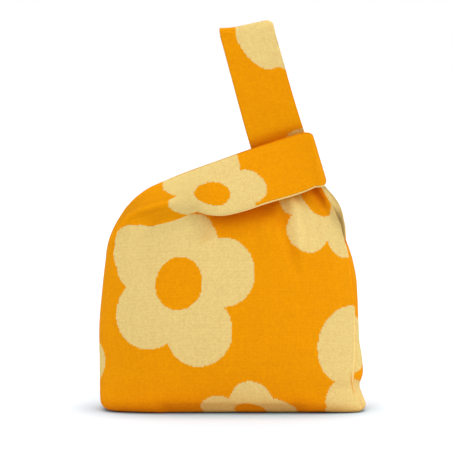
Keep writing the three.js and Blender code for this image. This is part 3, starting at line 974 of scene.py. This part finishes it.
# %% Edge loops
LOOP_PITCH = 2.6  # millimetres along the edge for each loop
LOOP_RADIUS = (0.12, 0.5)  # millimetres between two loops, and at the fullest
LOOP_TIP = 0.05  # radius at both ends
LOOP_THICKER = 1.4  # how many times thicker it is across the sheet than outwards
LOOP_STEPS = 8  # sections for each loop
LOOP_SIDES = 6


def edge_loops(name, points, normals, out, numbers):
    """The cord of loops along the lower edge of the short handle."""
    line = numbers["short"][COLUMNS["fold"] * FINE :, -1]
    ways = np.array([out[number] for number in line])
    centre = points[line] + RIM_BULGE * ways
    length = np.concatenate([[0], np.cumsum(np.linalg.norm(np.diff(centre, axis=0), axis=1))])
    at = np.arange(0, length[-1], LOOP_PITCH / LOOP_STEPS)

    def along(values):
        return np.column_stack([np.interp(at, length, values[:, k]) for k in range(3)])

    centre, ways, faces_out = along(centre), along(ways), along(normals[line])
    swell = mix(*LOOP_RADIUS, abs(np.sin(np.pi * at / LOOP_PITCH)))
    swell[[0, -1]] = LOOP_TIP
    turn = 2 * np.pi * np.arange(LOOP_SIDES) / LOOP_SIDES
    outwards = np.cos(turn)[None, :, None] * ways[:, None]
    facing = LOOP_THICKER * np.sin(turn)[None, :, None] * faces_out[:, None]
    rings = centre[:, None] + swell[:, None, None] * (outwards + facing)
    k = np.arange(len(at) - 1)[:, None] * LOOP_SIDES
    a, b = np.arange(LOOP_SIDES), (np.arange(LOOP_SIDES) + 1) % LOOP_SIDES
    faces = np.stack([k + a, k + b, k + b + LOOP_SIDES, k + a + LOOP_SIDES], axis=-1).reshape(-1, 4)
    last = (len(rings) - 1) * LOOP_SIDES
    ends = [list(range(LOOP_SIDES))[::-1], list(range(last, last + LOOP_SIDES))]
    mesh = bpy.data.meshes.new(name)
    mesh.from_pydata((rings.reshape(-1, 3) / METRE).tolist(), [], faces.tolist() + ends)
    mesh.shade_smooth()
    piece = bpy.data.objects.new(name, mesh)
    bpy.context.collection.objects.link(piece)
    print(name, round(length[-1]), "mm,", round(length[-1] / LOOP_PITCH), "loops")
    return piece


# %% Make the two panels
PANELS = [("front_knit", "front_panel", False), ("back_knit", "back_panel", True)]
pieces = {}
trims = {}
for name, node, back in PANELS:
    piece, area, shape = knitted_sheet(name, back, shape_it)
    trim = edge_loops(node.replace("panel", "loops"), *shape)
    pieces[name] = piece
    trims[name] = trim
    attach(piece, "root")
    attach(trim, "root")
    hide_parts(node)

# %% [markdown]
# Light that gets under the short handle has met orange wool several times on its way, so the cloth looks
# redder and darker there, more than the smooth sheet of this model would make it. That shade is painted
# into the knit's colour. So each point keeps a number for how sheltered it is: rays leave it in all
# directions in front of it, and those that meet cloth or the ground are counted.

# %% Sheltered places, for the painted shade
SHELTER_RAYS = 14
SHELTER_REACH = 0.06  # metres
SHELTER_START = 0.0005  # metres off the cloth, so that a ray doesn't meet the place it leaves
SHELTER_SMOOTHING = 6  # times that each point's number is mixed with its neighbours'
GROUND_SHARE = 0.3  # what a ray that meets the ground counts for
SHELTER_RANGE = (0.04, 0.6)  # counted shares where the tint starts and where it is full
GOLDEN_TURN = math.pi * (3 - math.sqrt(5))


def shelter(piece, tree):
    """Stores how sheltered each point is, as the mask of the painted shade: 0 is open, 1 deep in a hollow.
    """
    mesh = piece.data
    count = len(mesh.vertices)
    values = np.zeros(count)
    k = np.arange(SHELTER_RAYS) + 0.5
    out = np.sqrt(1 - k / SHELTER_RAYS)
    aside = np.sqrt(1 - out**2)
    rays = np.column_stack([aside * np.cos(k * GOLDEN_TURN), aside * np.sin(k * GOLDEN_TURN), out])
    for n, vertex in enumerate(mesh.vertices):
        turn = vertex.normal.to_track_quat("Z", "X").to_matrix()
        start = vertex.co + vertex.normal * SHELTER_START
        met = 0
        for ray in rays:
            way = turn @ Vector(ray)
            if way.z < 0 and start.z < -way.z * SHELTER_REACH:
                met += GROUND_SHARE
            elif tree.ray_cast(start, way, SHELTER_REACH)[0]:
                met += 1
        values[n] = met / SHELTER_RAYS
    edges = np.empty(2 * len(mesh.edges), int)
    mesh.edges.foreach_get("vertices", edges)
    a, b = edges.reshape(-1, 2).T
    degree = np.bincount(a, minlength=count) + np.bincount(b, minlength=count)
    for _ in range(SHELTER_SMOOTHING):
        around = np.bincount(a, values[b], count) + np.bincount(b, values[a], count)
        values = (values + around / degree) / 2
    low, high = SHELTER_RANGE
    kept = mesh.attributes.new("sheltered", "FLOAT", "POINT")
    kept.data.foreach_set("value", np.clip((values - low) / (high - low), 0, 1))
    print(piece.name, "sheltered points:", round(100 * (values > high).mean()), "%")


panels_mesh = bmesh.new()
for piece in pieces.values():
    panels_mesh.from_mesh(piece.data)
panels_tree = BVHTree.FromBMesh(panels_mesh)
panels_mesh.free()
for piece in pieces.values():
    shelter(piece, panels_tree)

# %% [markdown]
# ## The knit
#
# The real fabric is a double-knit jacquard: small V-shaped stitches in two yarns, where each stitch is one
# colour or the other, and the back of the fabric shows the two colours swapped. An image could hold the
# flowers, but drawn by nodes they stay sharp at any size, and their edges can step from stitch to stitch,
# as the knitting machine makes them.
#
# The first group turns a place on the flat knit into a stitch. Each half of the V leans, so a row is
# counted along a line that climbs from the middle of a column of stitches to its sides.

# %% Small helpers for node trees
def node_group(name, inputs, outputs):
    """A new shader node group. inputs and outputs are lists of (name, kind, value or None)."""
    group = bpy.data.node_groups.new(name, "ShaderNodeTree")
    for direction, sockets in (("INPUT", inputs), ("OUTPUT", outputs)):
        for label, kind, value in sockets:
            kind = "NodeSocket" + kind
            socket = group.interface.new_socket(name=label, in_out=direction, socket_type=kind)
            if value is not None:
                socket.default_value = value
    return group, group.nodes.new("NodeGroupInput"), group.nodes.new("NodeGroupOutput")


def math_node(tree, operation, *values):
    node = tree.nodes.new("ShaderNodeMath")
    node.operation = operation
    for socket, value in zip(node.inputs, values):
        wire(tree, value, socket)
    return node.outputs[0]


def placed(tree, group, **values):
    """A group placed in a tree, with its inputs set by name (a space is written as _)."""
    node = tree.nodes.new("ShaderNodeGroup")
    node.node_tree = group
    for key, value in values.items():
        wire(tree, value, node.inputs[key.replace("_", " ")])
    return node


print("helpers:", [helper.__name__ for helper in (node_group, math_node, placed)])

# %% The stitches
STITCH = (0.0016, 0.0013)  # width and height in metres
LEAN = 0.75  # of a stitch's height, that its two legs climb
LEG_ROUNDING = 0.4  # below 1 the legs of a V are full up to their edges
# How much of the difference from stitch to stitch is each stitch's own, its column's and its row's.
SHADE_SHARES = ((0.74, (1, 1, 0)), (0.16, (1, 0, 0)), (0.1, (0, 1, 0)))


def own_shade(tree, middle):
    """A random number for each stitch, partly shared along its column and its row."""
    shade = None
    for share, kept in SHADE_SHARES:
        part = tree.nodes.new("ShaderNodeVectorMath")
        part.operation = "MULTIPLY"
        wire(tree, middle, part.inputs[0])
        wire(tree, kept, part.inputs[1])
        random = tree.nodes.new("ShaderNodeTexWhiteNoise")
        random.noise_dimensions = "3D"
        wire(tree, part.outputs[0], random.inputs["Vector"])
        value = math_node(tree, "MULTIPLY", random.outputs["Value"], share)
        shade = value if shade is None else math_node(tree, "ADD", shade, value)
    return shade


def make_stitches():
    """The middle of the stitch at a place on the knit, how high the yarn is there, and its shade."""
    sizes = [("Width", "Float", STITCH[0]), ("Height", "Float", STITCH[1])]
    outputs = [("Stitch", "Vector", None), ("Relief", "Float", None), ("Shade", "Float", None)]
    group, ins, outs = node_group("knit stitches", [("Place", "Vector", None)] + sizes, outputs)
    place = group.nodes.new("ShaderNodeSeparateXYZ")
    group.links.new(ins.outputs["Place"], place.inputs[0])
    width, height = ins.outputs["Width"], ins.outputs["Height"]
    across = math_node(group, "DIVIDE", place.outputs["X"], width)
    column = math_node(group, "FLOOR", across)
    off_middle = math_node(group, "SUBTRACT", math_node(group, "FRACT", across), 0.5)
    out = math_node(group, "MULTIPLY", math_node(group, "ABSOLUTE", off_middle), 2.0)
    up = math_node(group, "DIVIDE", place.outputs["Y"], height)
    along_leg = math_node(group, "SUBTRACT", up, math_node(group, "MULTIPLY", out, LEAN))
    row = math_node(group, "FLOOR", along_leg)
    in_row = math_node(group, "FRACT", along_leg)

    centre = group.nodes.new("ShaderNodeCombineXYZ")
    wire(group, math_node(group, "MULTIPLY", math_node(group, "ADD", column, 0.5), width), centre.inputs[0])
    middle = math_node(group, "ADD", row, 0.5 + LEAN / 2)
    wire(group, math_node(group, "MULTIPLY", middle, height), centre.inputs[1])
    group.links.new(centre.outputs[0], outs.inputs["Stitch"])

    def arch(value):
        """0 where the value is 0 or 1, and 1 half way."""
        rest = math_node(group, "SUBTRACT", 1.0, value)
        return math_node(group, "MULTIPLY", math_node(group, "MULTIPLY", value, 4.0), rest)

    yarn = math_node(group, "SQRT", arch(in_row))
    leg = math_node(group, "POWER", arch(out), LEG_ROUNDING)
    group.links.new(math_node(group, "MULTIPLY", yarn, leg), outs.inputs["Relief"])
    group.links.new(own_shade(group, centre.outputs[0]), outs.inputs["Shade"])
    return group


stitches = make_stitches()
print(stitches.name, len(stitches.nodes), "nodes,", STITCH[0] * METRE, "by", STITCH[1] * METRE, "mm each")

# %% [markdown]
# A petal is a round spot. The spot group says how far inside a spot a stitch's middle lies: above 0 is
# inside. Five spots make a flower, or a few more where a petal isn't round, and one in its middle takes
# the ground colour back. The flowers were measured on the flat knit in millimetres from its middle: `x`
# across, `y` up from the band above the base.

# %% A spot
def make_spot():
    """How far inside a round or oval spot a place lies."""
    sizes = [("X", "Float", 0.0), ("Y", "Float", 0.0), ("Radius", "Float", 0.02), ("Oval", "Float", 1.0)]
    group, ins, outs = node_group("spot", [("Place", "Vector", None)] + sizes, [("Inside", "Float", None)])
    place = group.nodes.new("ShaderNodeSeparateXYZ")
    group.links.new(ins.outputs["Place"], place.inputs[0])
    x = math_node(group, "SUBTRACT", place.outputs["X"], ins.outputs["X"])
    up = math_node(group, "SUBTRACT", place.outputs["Y"], ins.outputs["Y"])
    y = math_node(group, "DIVIDE", up, ins.outputs["Oval"])
    square = math_node(group, "ADD", math_node(group, "MULTIPLY", x, x), math_node(group, "MULTIPLY", y, y))
    distance = math_node(group, "SQRT", square)
    group.links.new(math_node(group, "SUBTRACT", ins.outputs["Radius"], distance), outs.inputs["Inside"])
    return group


spot = make_spot()
print(spot.name, len(spot.nodes), "nodes")

# %% The flowers' places
PETALS = 5


def even_petals(x, y, turn, reach, radius):
    """The spots of a regular flower. turn is where its first petal points, in degrees."""
    turns = [math.radians(turn + 360 / PETALS * k) for k in range(PETALS)]
    return [(x + reach * math.cos(t), y + reach * math.sin(t), radius) for t in turns]


# Each flower: its middle (x, y, radius, how much taller than wide) and its petals, written the same way.
FRONT_FLOWERS = [
    # large, on the wall
    ((-42, 91, 23.6, 1.03), [
        (2.5, 101.5, 31.8), (-20, 47, 32), (-70, 64, 34), (-82, 112, 28.5), (-93, 122, 24), (-106, 132, 13),
        (-84, 128, 19), (-58, 124, 35), (-40, 119, 38.5),
    ]),
    # small, running under the base
    ((26, -36, 15.5, 1), [(32, -19.5, 21), (0, -33, 21), (52, -36, 21), (10, -58, 21), (42, -58, 21)]),
    # on the short handle
    ((-106, 231, 13.2, 1.25), [
        (-104, 261.5, 18.6), (-80, 236, 19), (-80, 247, 18), (-96, 204.5, 19), (-128, 216, 18.6),
        (-131, 247.5, 18.6),
    ]),
    # gathered under the knot, on the right
    ((113.5, 176, 22.5, 1), [
        (92.5, 141, 22), (134, 135, 22), (82.5, 175.5, 22.4), (103, 219, 21.5), (147, 169, 17),
        (124, 150, 12),
    ]),
    # low on the right, cut by the seam
    ((172, 6, 20, 1), [(131, 33, 36), (134.5, -28, 33)]),
    # low on the left, cut by the seam
    ((-160, 15.5, 12, 1), [(-135, 15.5, 18.5)]),
    # at the top of the long handle
    ((100, 375, 13, 1), [(87.5, 330, 22, 1.5), (108, 323, 25), (110, 340, 24)]),
]
BACK_FLOWERS = [
    ((30, 75, 23.5, 1), even_petals(30, 75, 20, 44, 33)),
    ((-78, 14, 15.5, 1), even_petals(-78, 14, 50, 28, 21.5)),
    ((-88, 118, 15, 1), even_petals(-88, 118, 5, 27, 20)),
    ((168, 2, 14, 1), [(141, 32.5, 26.7), (138, -28, 28)]),
    ((50, 190, 13, 1), even_petals(50, 190, 12, 24, 18)),
    ((-108, 262, 13, 1.2), even_petals(-108, 262, 40, 26, 18)),
    ((78, 300, 12, 1), even_petals(78, 300, 15, 22, 17)),
    ((20, -41, 14, 1), even_petals(20, -41, 10, 26, 20)),
]
print(len(FRONT_FLOWERS), "flowers in front and", len(BACK_FLOWERS), "behind")

# %% Flowers as groups
def make_flowers(name, flowers):
    """A group that is 1 where a stitch belongs to a flower, and 0 on the ground."""
    group, ins, outs = node_group(name, [("Stitch", "Vector", None)], [("Flower", "Float", None)])

    def inside(x, y, radius, oval=1.0):
        sizes = {"X": x / METRE, "Y": y / METRE, "Radius": radius / METRE, "Oval": oval}
        return placed(group, spot, Place=ins.outputs["Stitch"], **sizes).outputs["Inside"]

    best = None
    for middle, petals in flowers:
        flower = None
        for petal in petals:
            spot_here = inside(*petal)
            flower = spot_here if flower is None else math_node(group, "MAXIMUM", flower, spot_here)
        hole = math_node(group, "MULTIPLY", inside(*middle), -1.0)
        flower = math_node(group, "MINIMUM", flower, hole)
        best = flower if best is None else math_node(group, "MAXIMUM", best, flower)
    group.links.new(math_node(group, "GREATER_THAN", best, 0.0), outs.inputs["Flower"])
    return group


flower_groups = {
    "front_knit": make_flowers("front flowers", FRONT_FLOWERS),
    "back_knit": make_flowers("back flowers", BACK_FLOWERS),
}
print({name: len(group.nodes) for name, group in flower_groups.items()})

# %% [markdown]
# Two yarns give the colours. Between the stitches lies shade, and light that comes back out of it has met
# both yarns, so the gaps take the product of the two colours: it is what makes a jacquard's cream look
# warmer than the yarn on its cone. Each stitch also differs slightly from the next, because no two loops
# take the dye alike.

# %% Colours of the knit
ORANGE = (0.935, 0.388, 0.0015, 1)
CREAM = (0.885, 0.750, 0.29, 1)
LOOP_CREAM = (0.80, 0.58, 0.22, 1)  # a little deeper, because the loops shade each other
WHITE = (1, 1, 1, 1)  # leaves a colour as it is when the two are multiplied
GAP_TINT = 0.08  # of both yarns' product, in the deepest gaps
SHADE_TINT = (0.6, 0.25, 0.15, 1)  # what full shade leaves of a yarn's colour
GAP_SHADE = 0.62  # share of that tint in the deepest gaps
STITCH_VARIATION = 0.2  # and the most that a single stitch takes of it
# painted shade: where a place is sheltered, its colour is multiplied towards this tint, losing green and
# blue
PAINTED_SHADE_TINT = (1, 0.5, 0.1, 1)  # what the most sheltered places leave of it
INSIDE_PAINTED_SHADE = 0.25  # share of that tint on the cream side of the cloth, which passes on paler light


def make_yarns():
    """The colour of a place on the knit, from its yarn, its depth between the stitches and the shade
    painted where it is sheltered.
    """
    inputs = [("Ground", "Color", ORANGE), ("Flowers", "Color", CREAM), ("Flower", "Float", 0.0)]
    inputs += [("Relief", "Float", 1.0), ("Shade", "Float", 0.5), ("Sheltered", "Float", 0.0)]
    group, ins, outs = node_group("two yarns", inputs, [("Color", "Color", None)])
    i = ins.outputs
    front = mix_color(group, i["Flower"], i["Ground"], i["Flowers"])
    both = mix_color(group, 1.0, i["Ground"], i["Flowers"], "MULTIPLY")
    gap = math_node(group, "SUBTRACT", 1.0, i["Relief"])
    mixed = mix_color(group, math_node(group, "MULTIPLY", gap, GAP_TINT), front, both)
    deep = math_node(group, "MULTIPLY", gap, GAP_SHADE)
    varied = math_node(group, "MULTIPLY", i["Shade"], STITCH_VARIATION)
    darker = mix_color(group, math_node(group, "ADD", deep, varied), WHITE, SHADE_TINT)
    shaded = mix_color(group, 1.0, mixed, darker, "MULTIPLY")
    # painted shade: sheltered places are darkened, most in green and blue, as light under the handle would
    # be
    painted_shade = mix_color(group, i["Sheltered"], WHITE, PAINTED_SHADE_TINT)
    wire(group, mix_color(group, 1.0, shaded, painted_shade, "MULTIPLY"), outs.inputs["Color"])
    return group


yarns = make_yarns()
print(yarns.name, len(yarns.nodes), "nodes")

# %% [markdown]
# Each panel has three materials: one for each face of the knit, and one for the rim under the edge loops,
# which is all cream. They share every group, with ground and flowers swapped inside. The stitches are
# bumps, because one by one they would be a hundred thousand loops. The edge loops themselves are plain
# twisted yarn.

# %% Yarn
STRAND_SCALE = 900  # waves to the metre in the yarn's strands
STRAND_SHADES = (0.82, 1.1)  # how dark and how light they make it
STRAND_DEPTH = 0.0002  # metres
YARN = {
    "Roughness": 0.92,
    "Specular IOR Level": 0.02,
    "Sheen Weight": 0.08,
    "Sheen Tint": (1, 0.62, 0.06, 1),
    "Sheen Roughness": 0.5,
}


def matt_yarn(name):
    """A material with the soft shine of the yarn, to which a colour and a relief are added."""
    material = bpy.data.materials.new(name)
    material.use_nodes = True
    shader = material.node_tree.nodes["Principled BSDF"]
    for label, value in YARN.items():
        shader.inputs[label].default_value = value
    return material, material.node_tree, shader


def add_relief(tree, height, depth, shader):
    """Turns a height from 0 to 1 into a bump of so many metres."""
    bump = tree.nodes.new("ShaderNodeBump")
    bump.inputs["Strength"].default_value = 1
    bump.inputs["Distance"].default_value = depth
    wire(tree, height, bump.inputs["Height"])
    wire(tree, bump.outputs[0], shader.inputs["Normal"])


def yarn_material(name, color):
    """Plain yarn with fine strands in it."""
    material, tree, shader = matt_yarn(name)
    place = tree.nodes.new("ShaderNodeTexCoord")
    strands = tree.nodes.new("ShaderNodeTexNoise")
    strands.inputs["Scale"].default_value = STRAND_SCALE
    tree.links.new(place.outputs["Object"], strands.inputs["Vector"])
    shades = tree.nodes.new("ShaderNodeMapRange")
    shades.inputs["To Min"].default_value, shades.inputs["To Max"].default_value = STRAND_SHADES
    tree.links.new(strands.outputs[0], shades.inputs["Value"])
    grey = tree.nodes.new("ShaderNodeCombineColor")
    for socket in grey.inputs:
        tree.links.new(shades.outputs["Result"], socket)
    tree.links.new(mix_color(tree, 1.0, color, grey.outputs[0], "MULTIPLY"), shader.inputs["Base Color"])
    add_relief(tree, strands.outputs[0], STRAND_DEPTH, shader)
    return material


loop_yarn = yarn_material("loop yarn", LOOP_CREAM)
print(loop_yarn.name, len(loop_yarn.node_tree.nodes), "nodes")

# %% Materials of the knit
STITCH_DEPTH = 0.0006  # metres from the top of a stitch to the gap beside it


def knit_material(name, flowers, ground, motif, painted_shade):
    """One face of the knit. painted_shade is how much of the shade painted in sheltered places it takes."""
    material, tree, shader = matt_yarn(name)
    uv = tree.nodes.new("ShaderNodeUVMap")
    uv.uv_map = "cloth"
    stitch = placed(tree, stitches, Place=uv.outputs[0])
    flower = placed(tree, flowers, Stitch=stitch.outputs["Stitch"])
    sheltered = tree.nodes.new("ShaderNodeAttribute")
    sheltered.attribute_name = "sheltered"
    color = placed(
        tree, yarns, Ground=ground, Flowers=motif, Flower=flower.outputs["Flower"],
        Relief=stitch.outputs["Relief"], Shade=stitch.outputs["Shade"],
        Sheltered=math_node(tree, "MULTIPLY", sheltered.outputs["Fac"], painted_shade),
    )
    tree.links.new(color.outputs["Color"], shader.inputs["Base Color"])
    add_relief(tree, stitch.outputs["Relief"], STITCH_DEPTH, shader)
    return material


for name, piece in pieces.items():
    group = flower_groups[name]
    piece.data.materials.append(knit_material(name + " outside", group, ORANGE, CREAM, 1.0))
    piece.data.materials.append(knit_material(name + " inside", group, CREAM, ORANGE, INSIDE_PAINTED_SHADE))
    piece.data.materials.append(knit_material(name + " selvedge", group, CREAM, CREAM, INSIDE_PAINTED_SHADE))
    trims[name].data.materials.append(loop_yarn)
    print(name, [material.name for material in piece.data.materials])
